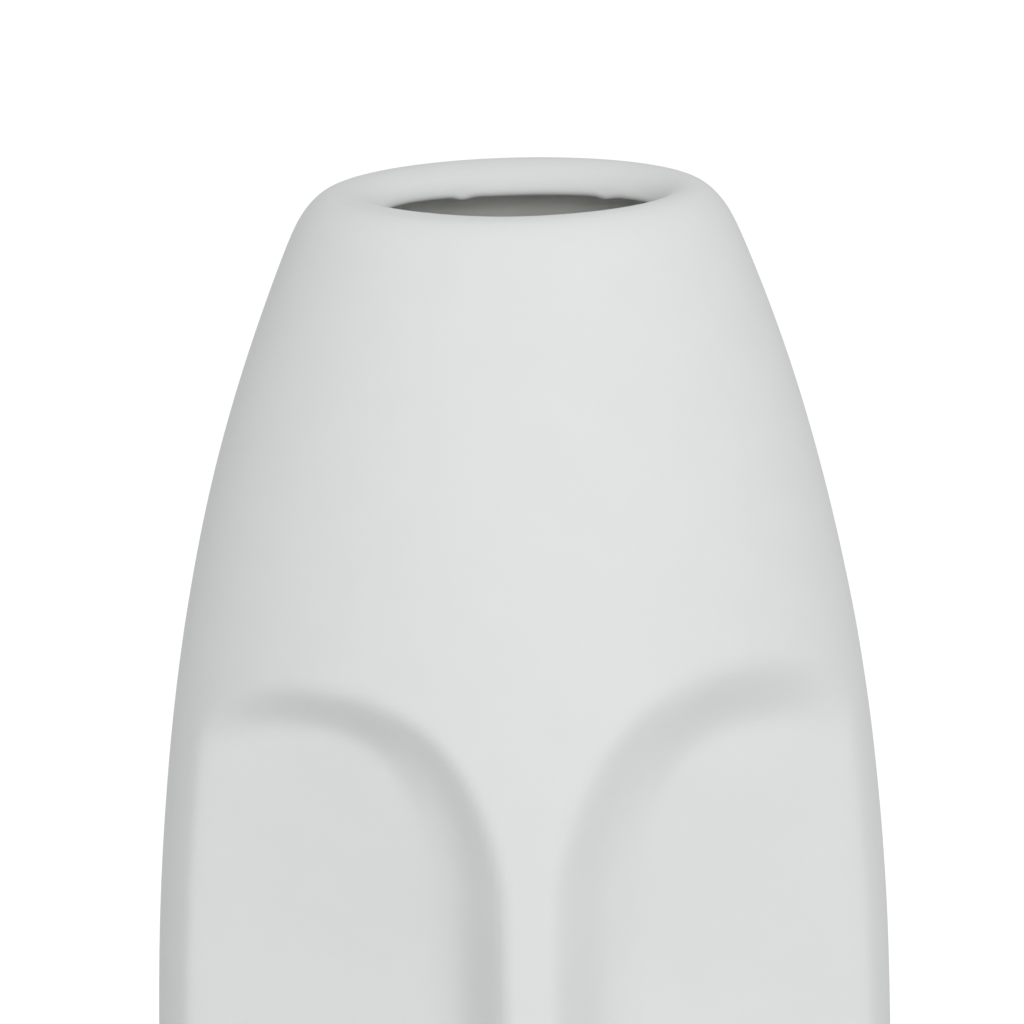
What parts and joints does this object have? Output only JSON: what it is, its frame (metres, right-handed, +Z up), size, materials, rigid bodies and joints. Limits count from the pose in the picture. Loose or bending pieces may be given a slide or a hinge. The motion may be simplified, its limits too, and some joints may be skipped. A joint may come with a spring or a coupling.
{
  "type": "face vase",
  "caption": "Tall oval ceramic vase with a rolled rim, its front carved as a plain long-nosed face under arched brows, on felt pads.",
  "frame": {"origin": "on the surface the vase stands on, at the middle of its bounding box", "axes": "+Z up, the face looks along -Y, +X to the right of someone who looks at the face"},
  "size_m": [0.1278, 0.102, 0.3053],
  "materials": {
    "matt_glazed_ceramic": "matt white glaze",
    "felt": "pressed wool felt",
    "adhesive_film": "pressure-sensitive adhesive film"
  },
  "bodies": {
    "root": {"vase_body": "matt_glazed_ceramic", "felt_pad_front_left": "felt", "felt_pad_front_right": "felt", "felt_pad_back_left": "felt", "felt_pad_back_right": "felt", "adhesive_film_front_left": "adhesive_film", "adhesive_film_front_right": "adhesive_film", "adhesive_film_back_left": "adhesive_film", "adhesive_film_back_right": "adhesive_film"}
  },
  "joints": []
}
